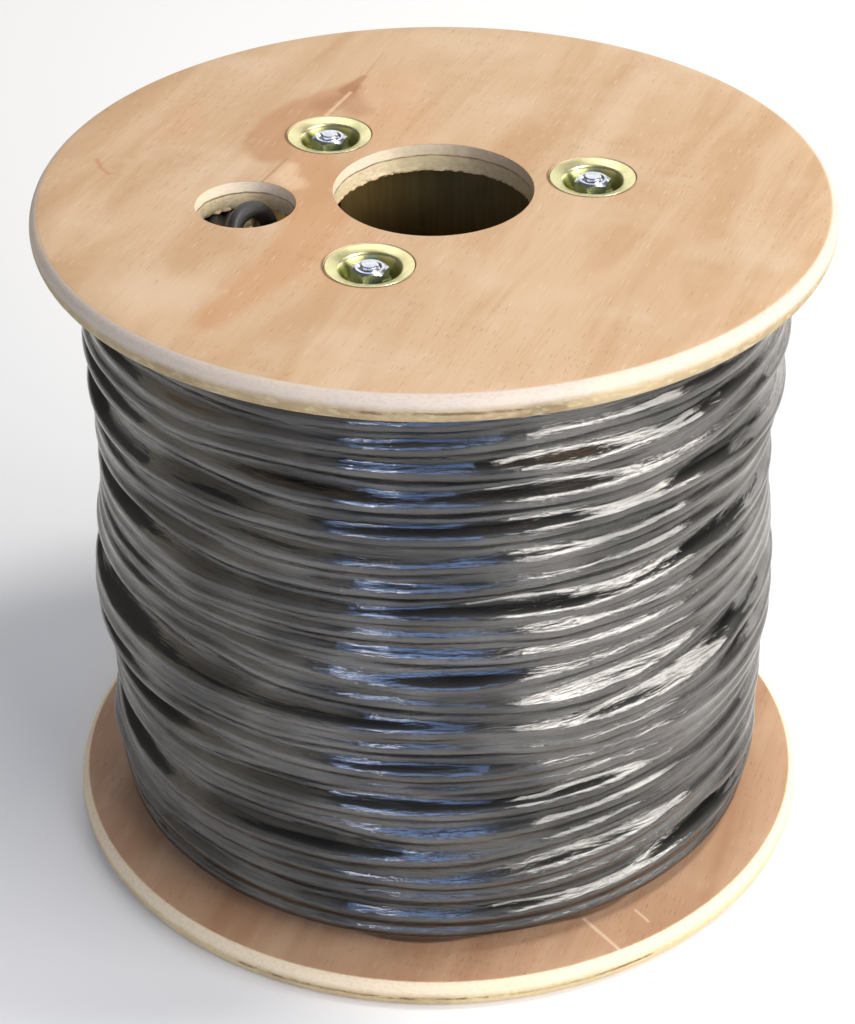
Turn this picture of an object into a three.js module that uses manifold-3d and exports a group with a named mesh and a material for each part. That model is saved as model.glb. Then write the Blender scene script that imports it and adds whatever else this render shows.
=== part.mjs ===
// A small plywood cable drum, full of black cable and wrapped in clear film, standing on one end.
// Two rounded plywood flanges are drawn onto a board barrel by three long bolts with cup washers.
// Millimetres. +Z runs up the drum's axis, and the origin is the middle of the bottom face.
import * as THREE from 'three';
import { mergeVertices } from 'three/addons/utils/BufferGeometryUtils.js';
import Module from 'manifold-3d';

const wasm = await Module();
wasm.setup();

// Flanges
const flangeDiameter = 320;
const flangeThickness = 12;
const rimRounding = 4; // how far in from the edge the rounded rim starts
const boreDiameter = 80; // takes the pay-off spindle
const startHoleDiameter = 40; // brings the inner end of the cable out

// Barrel
const traverse = 266; // clear width between the flanges
const barrelDiameter = 155;
const barrelWall = 5;
const barrelSeatDepth = 1.5; // groove in each flange that the barrel's end sits in

// Cable
const cableDiameter = 7;
const woundDiameter = 283;
const layerNesting = 0.91; // each layer drops a little into the grooves of the one below
const turnGroove = 2.4; // depth of the groove between turns that lie side by side
const endGroove = 1.2; // depth of the groove between layers on the winding's ends
const filmThickness = 0.4; // several rounds of stretch film

// Bolts, nuts and cup washers (M8)
const boltCount = 3;
const boltInset = 6.9; // from the barrel's inner wall to the circle through the bolts
const boltDiameter = 8;
const boltEndChamfer = 0.7;
const boltProud = 1.2; // how far the bolt stands out of its nut
const headHeight = 5.3;
const acrossFlats = 13;
const nutHeight = 6.5;
const nutFaceDiameter = 11.4; // what the 30 degree chamfer leaves flat on a nut or a bolt head
const cupRimDiameter = 35;
const cupMouthDiameter = 24;
const cupFloorDiameter = 17.6;
const cupDepth = 7.5;
const cupRimFall = 1.5; // the rim slopes down to the mouth by this much
const cupSheet = 1.2;
const cupSunk = 0.1; // the rim lies this far under the face of the wood

// Clearances
const seatGap = 0.3; // between pieces that bear on each other
const recessClearance = 0.6; // round the cup washer's rim
const boltClearance = 0.5;

// Smoothness of the round forms
const flangeSegments = 56;
const windingSegments = 28;
const barrelSegments = 36;
const holeSegments = 28;
const cupSegments = 16;
const boltSegments = 12;
const cableSides = 8;
const innerEndSteps = 28;

const overallHeight = traverse + 2 * flangeThickness;
const topFace = overallHeight;
const topInnerFace = topFace - flangeThickness;
const barrelRadius = barrelDiameter / 2;
const barrelMidRadius = barrelRadius - barrelWall / 2;
const boltCircleRadius = barrelRadius - barrelWall - boltInset;
const cableRadius = cableDiameter / 2;

// The bolts were drilled through both flanges together, this far off the middle
const boltShift = [-1.3, -0.9];

// The last layer of cable is open: the heights of its turns, as shares of the winding's width
const openTurns = [
  0.035, 0.07, 0.119, 0.147, 0.188, 0.237, 0.272, 0.316, 0.355, 0.395, 0.43, 0.488,
  0.522, 0.56, 0.592, 0.626, 0.68, 0.72, 0.769, 0.833, 0.878, 0.914, 0.956,
];

// How the turns and the film over them swell and dip up the winding: [share of its width, radius added]
const laySwell = [
  [0, -9], [0.035, -3.7], [0.07, -2.6], [0.094, -5.2], [0.143, -1.8], [0.203, -4.6], [0.237, -1.8],
  [0.295, -2.7], [0.355, 0.8], [0.43, 1.4], [0.46, -2.6], [0.507, 0.1], [0.59, -1.7], [0.626, -1.9],
  [0.651, -5.6], [0.68, -2.1], [0.72, -1.1], [0.769, 1], [0.8, -3.3], [0.833, 0.1], [0.878, 0.3],
  [0.956, -0.7], [1, -7.7],
];

// Where crossing turns push it out on one side, or it lies flatter:
// [bearing in degrees, share of the width, half width in degrees, half height as a share, radius added]
const sideBulges = [
  [-178, 0.393, 34, 0.06, 4.5],
  [-19, 0.805, 30, 0.057, 3.4],
  [-14, 0.575, 40, 0.234, -1.7],
];

// Route of the cable's inner end through the start hole, over the barrel's end and down inside it:
// [outwards from the middle of the barrel's wall, along the wall, up from the flange's inner face]
const innerEndRoute = [
  [4.9, -16.5, -2.6], [6, -11, 0.4], [5.5, -5.5, 4.4], [3, -1, 6.9], [-0.6, 2.6, 7.6],
  [-4.4, 5.6, 6.4], [-8, 8, 2.6], [-10, 9.4, -3], [-10.7, 10, -10], [-10.4, 10, -20],
  [-8.9, 9.2, -34], [-7.4, 8, -50], [-6.9, 7, -66],
];

const plywood = new THREE.MeshStandardMaterial({ color: 0xe2bc92, roughness: 0.62, metalness: 0 });
const coreBoard = new THREE.MeshStandardMaterial({ color: 0xcbb79a, roughness: 0.85, metalness: 0 });
const cableJacket = new THREE.MeshStandardMaterial({ color: 0x35322e, roughness: 0.45, metalness: 0 });
const clearFilm = new THREE.MeshStandardMaterial({
  color: 0xd9dde2, roughness: 0.12, metalness: 0, transparent: true, opacity: 0.25,
});
const yellowZinc = new THREE.MeshStandardMaterial({ color: 0xcfcf98, roughness: 0.35, metalness: 1 });
const brightZinc = new THREE.MeshStandardMaterial({ color: 0xc9ccd2, roughness: 0.25, metalness: 1 });

// A copy of a geometry with nothing but shared corner points, and no triangles of zero width
function mergedCorners(geometry) {
  const bare = geometry.clone();
  bare.deleteAttribute('normal');
  bare.deleteAttribute('uv');
  const merged = mergeVertices(bare, 1e-4);
  const index = Array.from(merged.index.array);
  const kept = [];
  for (let i = 0; i < index.length; i += 3) {
    const [a, b, c] = index.slice(i, i + 3);
    if (a !== b && b !== c && c !== a) kept.push(a, b, c);
  }
  merged.setIndex(kept);
  return merged;
}

function toSolid(geometry) {
  const merged = mergedCorners(geometry);
  const vertProperties = new Float32Array(merged.attributes.position.array);
  const triVerts = new Uint32Array(merged.index.array);
  return new wasm.Manifold(new wasm.Mesh({ numProp: 3, vertProperties, triVerts }));
}

function toGeometry(solid) {
  const mesh = solid.getMesh();
  const geometry = new THREE.BufferGeometry();
  geometry.setAttribute('position', new THREE.BufferAttribute(new Float32Array(mesh.vertProperties), 3));
  geometry.setIndex(new THREE.BufferAttribute(new Uint32Array(mesh.triVerts), 1));
  geometry.computeVertexNormals();
  return geometry;
}

// A faceted hole's corners lie a little outside its true radius, so that its flats don't cut in
function holeCorners(radius, segments) {
  return radius / Math.cos(Math.PI / segments);
}

// Turns a closed outline of [radius, height] about +Z; the outline runs anticlockwise
function turned(outline, segments) {
  const points = [...outline, outline[0]].map(([radius, height]) => new THREE.Vector2(radius, height));
  const geometry = new THREE.LatheGeometry(points, segments);
  geometry.rotateX(Math.PI / 2);
  return mergedCorners(geometry);
}

function hexagonPrism(height, holeDiameter) {
  const cornerRadius = acrossFlats / 2 / Math.cos(Math.PI / 6);
  const corners = Array.from({ length: 6 }, (_, i) => {
    const angle = (i * Math.PI) / 3;
    return new THREE.Vector2(cornerRadius * Math.cos(angle), cornerRadius * Math.sin(angle));
  });
  const shape = new THREE.Shape(corners);
  if (holeDiameter) {
    const holeRadius = holeCorners(holeDiameter / 2, boltSegments);
    shape.holes.push(new THREE.Path().absarc(0, 0, holeRadius, 0, 2 * Math.PI, true));
  }
  return new THREE.ExtrudeGeometry(shape, {
    depth: height, steps: 1, bevelEnabled: false, curveSegments: boltSegments / 2,
  });
}

// A hexagon with the corners of its far end, or of both ends, turned off at 30 degrees
function chamferedHexagon(height, holeDiameter, bothEnds) {
  const flatRadius = nutFaceDiameter / 2;
  const reach = acrossFlats * 0.65; // just past the corners
  const fall = (reach - flatRadius) * Math.tan(Math.PI / 6);
  const foot = bothEnds ? [[0, 0], [flatRadius, 0], [reach, fall]] : [[0, -1], [reach, -1]];
  const envelope = turned([...foot, [reach, height - fall], [flatRadius, height], [0, height]], 24);
  return toSolid(hexagonPrism(height, holeDiameter)).intersect(toSolid(envelope));
}

// Carries an outline of [radius, height] round +Z while it changes with the bearing, in radians
function carriedRound(outlineAt, segments) {
  const positions = [];
  const index = [];
  for (let column = 0; column < segments; column++) {
    const bearing = (column * 2 * Math.PI) / segments;
    const outline = outlineAt(bearing);
    const count = outline.length;
    for (const [radius, height] of outline) {
      positions.push(radius * Math.cos(bearing), radius * Math.sin(bearing), height);
    }
    for (let i = 0; i < count; i++) {
      const here = column * count + i;
      const above = column * count + ((i + 1) % count);
      const nextColumn = ((column + 1) % segments) * count;
      const beside = nextColumn + i;
      const across = nextColumn + ((i + 1) % count);
      index.push(here, beside, above, beside, across, above);
    }
  }
  const geometry = new THREE.BufferGeometry();
  geometry.setAttribute('position', new THREE.BufferAttribute(new Float32Array(positions), 3));
  geometry.setIndex(index);
  return geometry;
}

// --- Flanges -----------------------------------------------------------------------------

// Outline of the pocket that a cup washer drops into, measured down from the wood's face
function cupSeatOutline() {
  const rim = holeCorners(cupRimDiameter / 2 + recessClearance, cupSegments);
  const mouth = holeCorners(cupMouthDiameter / 2 + cupSheet + seatGap, cupSegments);
  const floor = holeCorners(cupFloorDiameter / 2 + cupSheet + seatGap, cupSegments);
  const sunk = cupSunk + seatGap;
  return [
    [0, -cupDepth - cupSheet - sunk],
    [floor, -cupDepth - cupSheet - sunk],
    [mouth, -cupRimFall - cupSheet - sunk],
    [rim, -cupSheet - sunk],
    [rim, 1],
    [0, 1],
  ];
}

function boltPlaces() {
  return Array.from({ length: boltCount }, (_, i) => {
    const angle = (i * 2 * Math.PI) / boltCount;
    const [shiftX, shiftY] = boltShift;
    return new THREE.Vector3(
      boltCircleRadius * Math.cos(angle) + shiftX, boltCircleRadius * Math.sin(angle) + shiftY, 0);
  });
}

// A cutter along +Z that runs well past both faces of a flange
function drill(diameter, segments) {
  const radius = holeCorners(diameter / 2, segments);
  return new THREE.CylinderGeometry(radius, radius, 3 * flangeThickness, segments).rotateX(Math.PI / 2);
}

// One flange with its inner face at z = 0 and its outer face up
function flangeSolid() {
  const radius = flangeDiameter / 2;
  const bore = holeCorners(boreDiameter / 2, flangeSegments);
  const half = flangeThickness / 2;
  const grooveIn = barrelRadius - barrelWall - seatGap;
  const grooveOut = holeCorners(barrelRadius + seatGap, flangeSegments);
  const rimSteps = 6;
  const rim = Array.from({ length: rimSteps + 1 }, (_, i) => {
    const angle = -Math.PI / 2 + (i * Math.PI) / rimSteps;
    return [radius - rimRounding + rimRounding * Math.cos(angle), half + half * Math.sin(angle)];
  });
  const outline = [
    [bore, 0], [grooveIn, 0], [grooveIn, barrelSeatDepth], [grooveOut, barrelSeatDepth], [grooveOut, 0],
    ...rim,
    [bore, flangeThickness],
  ];
  let solid = toSolid(turned(outline, flangeSegments));
  const boltHole = drill(boltDiameter + 2 * boltClearance, boltSegments);
  const cupSeat = turned(cupSeatOutline(), cupSegments).translate(0, 0, flangeThickness);
  for (const place of boltPlaces()) {
    solid = solid.subtract(toSolid(boltHole).translate([place.x, place.y, 0]));
    solid = solid.subtract(toSolid(cupSeat).translate([place.x, place.y, 0]));
  }
  return solid;
}

// The start hole stands over the barrel's wall, opposite the first bolt
function startHole() {
  return toSolid(drill(startHoleDiameter, holeSegments).translate(-barrelMidRadius, 0, 0));
}

// --- Barrel ------------------------------------------------------------------------------

function barrelGeometry() {
  const inner = holeCorners(barrelRadius - barrelWall, barrelSegments);
  const bottom = flangeThickness - barrelSeatDepth + seatGap;
  const top = topInnerFace + barrelSeatDepth - seatGap;
  const outline = [[inner, bottom], [barrelRadius, bottom], [barrelRadius, top], [inner, top]];
  return turned(outline, barrelSegments);
}

// --- Cable -------------------------------------------------------------------------------

const windingBottom = flangeThickness + seatGap;
const windingTop = topInnerFace - seatGap;

// How far a side bulge pushes out at a share of the width and a bearing in radians
function bulgeAt(share, bearing) {
  return sideBulges.reduce((sum, [middle, height, halfWidth, halfHeight, added]) => {
    const turn = bearing - THREE.MathUtils.degToRad(middle);
    const across = Math.atan2(Math.sin(turn), Math.cos(turn)) / THREE.MathUtils.degToRad(halfWidth);
    const up = (share - height) / halfHeight;
    return sum + added * Math.exp(-across * across - up * up);
  }, 0);
}

// Radius of the crests of the open layer
function crestRadius(share, bearing) {
  const upper = Math.max(laySwell.findIndex(([end]) => end >= share), 1);
  const [shareB, swellB] = laySwell[upper];
  const [shareA, swellA] = laySwell[upper - 1];
  const addedA = swellA + bulgeAt(shareA, bearing);
  const addedB = swellB + bulgeAt(shareB, bearing);
  return woundDiameter / 2 + addedA + ((addedB - addedA) * (share - shareA)) / (shareB - shareA);
}

// The winding's side from the bottom up: each turn of the open layer stands out, and where two lie
// apart the groove between them goes down towards the layer below
function windingSide(bearing) {
  const width = windingTop - windingBottom;
  const layerRise = cableDiameter * layerNesting;
  const side = [[crestRadius(0, bearing), windingBottom + endGroove]];
  openTurns.forEach((share, turn) => {
    if (turn > 0) {
      const between = (share + openTurns[turn - 1]) / 2;
      const apart = (share - openTurns[turn - 1]) * width - cableDiameter;
      const depth = Math.min(turnGroove + Math.max(apart, 0) / 2, layerRise);
      side.push([crestRadius(between, bearing) - depth, windingBottom + between * width]);
    }
    side.push([crestRadius(share, bearing), windingBottom + share * width]);
  });
  side.push([crestRadius(1, bearing), windingTop - endGroove]);
  return side;
}

// The whole winding as one body: every open turn stands out, and every layer shows on the ends
function windingOutline(bearing) {
  const innerRadius = holeCorners(barrelRadius + seatGap, windingSegments);
  const fullLayers = Math.round((woundDiameter / 2 - innerRadius) / (cableDiameter * layerNesting)) - 1;
  const layerPitch = (crestRadius(0, bearing) - innerRadius) / fullLayers;

  const lowerEnd = [];
  for (let layer = 0; layer < fullLayers; layer++) {
    lowerEnd.push([innerRadius + layer * layerPitch, windingBottom + endGroove]);
    lowerEnd.push([innerRadius + (layer + 0.5) * layerPitch, windingBottom]);
  }
  const turnedOver = ([radius, height]) => [radius, windingTop + windingBottom - height];
  const upperEnd = lowerEnd.map(turnedOver).reverse();
  return [...lowerEnd, ...windingSide(bearing), ...upperEnd];
}

function curveThrough(points) {
  return new THREE.CatmullRomCurve3(points, false, 'centripetal');
}

const innerEndPoints = innerEndRoute.map(([out, along, up]) =>
  new THREE.Vector3(-barrelMidRadius - out, along, topInnerFace + up));

function cableAlong(curve, radius, steps) {
  const section = new THREE.Shape(Array.from({ length: cableSides }, (_, i) => {
    const angle = ((i + 0.5) * 2 * Math.PI) / cableSides;
    return new THREE.Vector2(radius * Math.cos(angle), radius * Math.sin(angle));
  }));
  return new THREE.ExtrudeGeometry(section, { steps, bevelEnabled: false, extrudePath: curve });
}

function innerEndGeometry() {
  return mergedCorners(cableAlong(curveThrough(innerEndPoints), cableRadius, innerEndSteps));
}

// The winding is pressed aside where the inner end climbs out of its first layer
function windingSolid() {
  const backwards = curveThrough(innerEndPoints).getTangent(0).multiplyScalar(-2 * recessClearance);
  const pocketCurve = curveThrough([innerEndPoints[0].clone().add(backwards), ...innerEndPoints]);
  const pocketRadius = holeCorners(cableRadius + recessClearance, cableSides);
  const pocket = toSolid(cableAlong(pocketCurve, pocketRadius, innerEndSteps));
  return toSolid(carriedRound(windingOutline, windingSegments)).subtract(pocket);
}

// Stretch film drawn tight over the open layer and into its main hollows
function filmOutline(bearing) {
  const width = windingTop - windingBottom;
  const under = laySwell.map(([share]) => [crestRadius(share, bearing), windingBottom + share * width]);
  const inner = under.map(([radius, height]) => [radius + seatGap, height]);
  const outer = inner.map(([radius, height]) => [radius + filmThickness, height]);
  return [...outer, ...inner.reverse()];
}

function filmGeometry() {
  return carriedRound(filmOutline, windingSegments);
}

// --- Bolts, nuts and cup washers ---------------------------------------------------------

// A pressed cup washer with the top of its rim at z = 0 and its cup hanging down
function cupWasherGeometry() {
  const rim = cupRimDiameter / 2;
  const mouth = cupMouthDiameter / 2;
  const floor = cupFloorDiameter / 2;
  const hole = holeCorners(boltDiameter / 2 + boltClearance, cupSegments);
  const outline = [
    [hole, -cupDepth - cupSheet], [floor + cupSheet, -cupDepth - cupSheet],
    [mouth + cupSheet, -cupRimFall - cupSheet], [rim, -cupSheet],
    [rim, 0], [mouth, -cupRimFall], [floor, -cupDepth], [hole, -cupDepth],
  ];
  return turned(outline, cupSegments);
}

const cupFloorTop = topFace - cupSunk - cupDepth; // where the nut bears
const headFace = cupSunk + cupDepth; // where the bolt head bears

function nutSolid() {
  return chamferedHexagon(nutHeight, boltDiameter + 2 * seatGap, true);
}

function boltSolid() {
  const radius = boltDiameter / 2;
  const end = cupFloorTop + seatGap + nutHeight + boltProud;
  const seat = headFace - seatGap;
  const shank = turned([
    [0, seat - headHeight / 2], [radius, seat - headHeight / 2], [radius, end - boltEndChamfer],
    [radius - boltEndChamfer, end], [0, end],
  ], boltSegments);
  const head = chamferedHexagon(headHeight, 0, false).rotate([180, 0, 0]).translate([0, 0, seat]);
  return head.add(toSolid(shank));
}

// --- Assembly ----------------------------------------------------------------------------

const drum = new THREE.Group();

function addPiece(name, geometry, material) {
  const mesh = new THREE.Mesh(geometry, material.clone());
  mesh.name = name;
  drum.add(mesh);
  return mesh;
}

const flange = flangeSolid();
const topFlange = addPiece('top_flange', toGeometry(flange.subtract(startHole())), plywood);
topFlange.position.z = topInnerFace;
const bottomFlange = addPiece('bottom_flange', toGeometry(flange.mirror([0, 0, 1])), plywood);
bottomFlange.position.z = flangeThickness;

addPiece('barrel', barrelGeometry(), coreBoard);
addPiece('cable_winding', toGeometry(windingSolid()), cableJacket);
addPiece('cable_inner_end', innerEndGeometry(), cableJacket);
addPiece('stretch_film', filmGeometry(), clearFilm);

const cupWasher = cupWasherGeometry();
const nut = toGeometry(nutSolid());
const bolt = toGeometry(boltSolid());
boltPlaces().forEach((place, i) => {
  const number = i + 1;
  const tieBolt = addPiece(`tie_bolt_${number}`, bolt, brightZinc);
  tieBolt.position.copy(place);

  const topNut = addPiece(`nut_${number}`, nut, brightZinc);
  topNut.position.set(place.x, place.y, cupFloorTop + seatGap);

  const topWasher = addPiece(`top_cup_washer_${number}`, cupWasher, yellowZinc);
  topWasher.position.set(place.x, place.y, topFace - cupSunk);

  const bottomWasher = addPiece(`bottom_cup_washer_${number}`, cupWasher, yellowZinc);
  bottomWasher.position.set(place.x, place.y, cupSunk);
  bottomWasher.rotation.x = Math.PI;
});

export default drum;
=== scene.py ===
import math
import random

import bmesh
import bpy
import numpy as np
from mathutils import Matrix, Vector, noise


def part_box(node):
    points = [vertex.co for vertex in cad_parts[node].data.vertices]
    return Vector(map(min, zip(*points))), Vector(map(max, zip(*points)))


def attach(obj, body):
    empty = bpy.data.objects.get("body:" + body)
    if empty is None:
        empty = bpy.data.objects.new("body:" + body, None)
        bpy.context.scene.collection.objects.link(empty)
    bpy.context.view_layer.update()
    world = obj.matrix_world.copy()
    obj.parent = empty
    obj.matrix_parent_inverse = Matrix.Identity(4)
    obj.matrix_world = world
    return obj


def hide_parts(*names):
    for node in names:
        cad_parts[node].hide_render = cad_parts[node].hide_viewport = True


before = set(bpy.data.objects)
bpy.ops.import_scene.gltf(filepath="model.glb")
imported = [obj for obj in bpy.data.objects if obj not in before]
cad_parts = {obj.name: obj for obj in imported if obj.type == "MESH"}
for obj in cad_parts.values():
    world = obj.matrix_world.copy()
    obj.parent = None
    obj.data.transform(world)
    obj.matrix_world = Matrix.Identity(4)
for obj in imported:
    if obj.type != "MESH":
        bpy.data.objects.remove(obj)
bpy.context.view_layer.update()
mm = 0.001
print("stage 1: packed solids loaded")

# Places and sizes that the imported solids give, in metres
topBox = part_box("top_flange")
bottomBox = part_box("bottom_flange")
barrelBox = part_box("barrel")
rimRadius = topBox[1].x
topFace, topUnderside = topBox[1].z, topBox[0].z
lowFace = bottomBox[1].z
flangeThickness = (topFace - topUnderside) / mm
boltPlaces = []
for number in (1, 2, 3):
    low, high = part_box(f"tie_bolt_{number}")
    boltPlaces.append(Vector(((low.x + high.x) / 2, (low.y + high.y) / 2, 0)))


# Camera, floor and lights
cameraView = {
    "aim": (-0.00379, 0.0006, 0.13616),
    "distance": 1.20123,
    "azimuth": -98.981,  # degrees round from +X
    "elevation": 33.546,
    "roll": 0.631,
    "lens": 98.985,
}


def addCamera():
    view = cameraView
    turn, rise = math.radians(view["azimuth"]), math.radians(view["elevation"])
    back = Vector((math.cos(turn) * math.cos(rise), math.sin(turn) * math.cos(rise), math.sin(rise)))
    bpy.ops.object.camera_add(location=Vector(view["aim"]) + back * view["distance"])
    camera = bpy.context.object
    camera.name = "mainCamera"
    camera.rotation_mode = "QUATERNION"
    roll = Matrix.Rotation(math.radians(-view["roll"]), 3, "Z").to_quaternion()
    camera.rotation_quaternion = (-back).to_track_quat("-Z", "Y") @ roll
    camera.data.lens = view["lens"]
    camera.data.clip_start = 0.05
    bpy.context.scene.camera = camera
    return camera


addCamera()
print("stage 2: camera placed")

floorLook = {"side": 9.0, "colour": (0.92, 0.905, 0.88, 1.0), "roughness": 0.7}

# Each light: place, size across and up, power and colour
softLights = {
    "rightWindow": ((1.14, -1.14, 0.88), (1.8, 0.77), 36, (1.0, 0.985, 0.97)),
    "frontSky": ((-0.58, -1.91, 0.98), (1.5, 0.8), 13, (0.3, 0.5, 1.0)),
    "skyGleam": ((-0.87, -1.66, 0.66), (0.46, 0.13), 2.3, (1.0, 1.0, 1.0)),
    "leftCard": ((-2.2, -0.5, 1.15), (3.0, 1.9), 7.5, (1.0, 0.91, 0.78)),
    "rightCard": ((2.05, 1.25, 0.75), (1.5, 1.3), 14, (1.0, 1.0, 1.0)),
    "rearTop": ((0.0, 1.4, 2.15), (1.0, 0.7), 6, (1.0, 1.0, 1.0)),
    "overhead": ((0.94, -0.06, 2.34), (0.5, 0.5), 29, (1.0, 1.0, 1.0)),
    "rearFill": ((0.35, 2.0, 1.2), (2.2, 1.2), 10, (1.0, 1.0, 1.0)),
}
worldGrey = (0.12, 0.12, 0.12, 1.0)


def addFloor():
    bpy.ops.mesh.primitive_plane_add(size=floorLook["side"], location=(0, 0, 0))
    floor = bpy.context.object
    floor.name = "paleFloor"
    material = bpy.data.materials.new("paleFloorPaint")
    material.use_nodes = True
    shader = material.node_tree.nodes["Principled BSDF"]
    shader.inputs["Base Color"].default_value = floorLook["colour"]
    shader.inputs["Roughness"].default_value = floorLook["roughness"]
    shader.inputs["Specular IOR Level"].default_value = 0.2
    floor.data.materials.append(material)
    return floor


def addLights():
    aim = Vector((0, 0, 0.15))
    for name, (place, size, power, tint) in softLights.items():
        bpy.ops.object.light_add(type="AREA", location=place)
        lamp = bpy.context.object
        lamp.name = name
        lamp.data.shape = "RECTANGLE"
        lamp.data.size, lamp.data.size_y = size
        lamp.data.energy = power
        lamp.data.color = tint
        lamp.rotation_mode = "QUATERNION"
        lamp.rotation_quaternion = (aim - lamp.location).to_track_quat("-Z", "Y")


world = bpy.data.worlds.new("studioAir")
world.use_nodes = True
world.node_tree.nodes["Background"].inputs["Color"].default_value = worldGrey
bpy.context.scene.world = world
bpy.context.scene.view_settings.view_transform = "Standard"
addFloor()
addLights()
print("stage 3: floor and lights in place")


def clearSelection():
    if bpy.context.object and bpy.context.object.mode != "OBJECT":
        bpy.ops.object.mode_set(mode="OBJECT")
    bpy.ops.object.select_all(action="DESELECT")


def nameIt(name):
    piece = bpy.context.object
    piece.name = name
    piece.data.name = name
    return piece


def activate(piece):
    clearSelection()
    piece.select_set(True)
    bpy.context.view_layer.objects.active = piece


# Rounds the corners of an outline: each corner is (radius, height, fillet), in millimetres
def roundedOutline(corners, arcSteps=5):
    points = []
    for i, (x, y, fillet) in enumerate(corners):
        here = Vector((x, y))
        if not fillet:
            points.append(here)
            continue
        before = (Vector(corners[i - 1][:2]) - here).normalized()
        after = (Vector(corners[(i + 1) % len(corners)][:2]) - here).normalized()
        half = before.angle(after) / 2
        reach = fillet / math.tan(half)
        centre = here + (before + after).normalized() * (fillet / math.sin(half))
        start, end = here + before * reach - centre, here + after * reach - centre
        sweep = start.angle_signed(end)
        for step in range(arcSteps + 1):
            angle = -sweep * step / arcSteps
            turn = Matrix.Rotation(angle, 2)
            points.append(centre + turn @ start)
    return [(p.x, p.y) for p in points]


# A piece that is a single point so far, in edit mode, with its place in millimetres
def startPoint(name, radius, height):
    clearSelection()
    bpy.ops.mesh.primitive_plane_add(size=mm, location=(0, 0, 0))
    piece = nameIt(name)
    bpy.ops.object.mode_set(mode="EDIT")
    bpy.ops.mesh.merge(type="CENTER")
    bpy.ops.transform.translate(value=(radius * mm, 0, height * mm))
    return piece


def extrudePoint(outwards, upwards):
    bpy.ops.mesh.extrude_region_move(TRANSFORM_OT_translate={"value": (outwards, 0, upwards)})


# Turns a closed outline of (radius, height) in millimetres round the upright line through axis
def spinOutline(name, outline, steps, axis=(0, 0, 0)):
    piece = startPoint(name, *outline[0])
    for (r0, z0), (r1, z1) in zip(outline, outline[1:]):
        extrudePoint((r1 - r0) * mm, (z1 - z0) * mm)
    shape = bmesh.from_edit_mesh(piece.data)
    shape.verts.ensure_lookup_table()
    for vertex in shape.verts:
        vertex.select = len(vertex.link_edges) == 1
    bmesh.update_edit_mesh(piece.data)
    bpy.ops.mesh.edge_face_add()
    bpy.ops.mesh.select_all(action="SELECT")
    bpy.ops.mesh.spin(steps=steps, angle=math.tau, center=(0, 0, 0), axis=(0, 0, 1))
    bpy.ops.mesh.select_all(action="SELECT")
    bpy.ops.mesh.remove_doubles(threshold=0.00001)
    bpy.ops.mesh.delete_loose(use_verts=True, use_edges=True, use_faces=False)
    bpy.ops.mesh.select_all(action="SELECT")
    bpy.ops.mesh.normals_make_consistent(inside=False)
    bpy.ops.transform.translate(value=axis)
    bpy.ops.object.mode_set(mode="OBJECT")
    return piece


# Cuts a piece with another, which is used up
def cutAway(piece, cutter, operation="DIFFERENCE"):
    activate(piece)
    cut = piece.modifiers.new("cut", "BOOLEAN")
    cut.operation = operation
    cut.solver = "EXACT"
    cut.object = cutter
    bpy.ops.object.modifier_apply(modifier=cut.name)
    bpy.data.objects.remove(cutter)


def smoothShade(piece, degrees):
    activate(piece)
    bpy.ops.object.shade_smooth_by_angle(angle=math.radians(degrees))


def finishPiece(piece, material, slot, *nodes):
    piece.data.materials.clear()
    piece.data.materials.append(material)
    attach(piece, "root")
    if nodes:
        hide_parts(*nodes)


flangeShape = {
    "steps": 288,
    "roundIn": 4.0,  # how far in from the edge the rounded rim starts
    "rimSteps": 14,
    "boreDiameter": 80.0,
    "startHoleDiameter": 40.0,
    "startHoleInset": 2.5,  # from the barrel's outer wall to the hole's middle
    "faceRings": (90, 120, 146),  # radii of the flat faces' edge loops
    "blankBore": 32.0,  # inner radius of the blank, before the bore is drilled
    "barrelGroove": (72.2, 77.8, 1.5),  # inner radius, outer radius, depth
    "tornDepth": 2.6,  # how high up a hole's wall its torn lower edge reaches
    "tearing": 1.2,
    "boltHole": 9.0,
    "cupSeat": [(17.7, 1.0), (17.7, -1.6), (13.6, -3.1), (10.4, -9.1)],  # radius and height under the face
}


# A flange drawn with its inner face at z = 0 and its outer face up; both are turned from it
def flangeOutline(thickness):
    radius = rimRadius / mm
    grooveIn, grooveOut, grooveDepth = flangeShape["barrelGroove"]
    half, roundIn = thickness / 2, flangeShape["roundIn"]
    steps = flangeShape["rimSteps"]
    rim = []
    for i in range(steps + 1):
        angle = -math.pi / 2 + math.pi * i / steps
        rim.append((radius - roundIn + roundIn * math.cos(angle), half + half * math.sin(angle)))
    inside = flangeShape["blankBore"]
    inner, middle, outer = flangeShape["faceRings"]
    underside = [(inside, 0), (grooveIn, 0), (grooveIn, grooveDepth), (grooveOut, grooveDepth),
                 (grooveOut, 0), (middle, 0), (outer, 0)]
    return underside + rim + [(radius, thickness) for radius in (outer, middle, inner, inside)]


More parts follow.
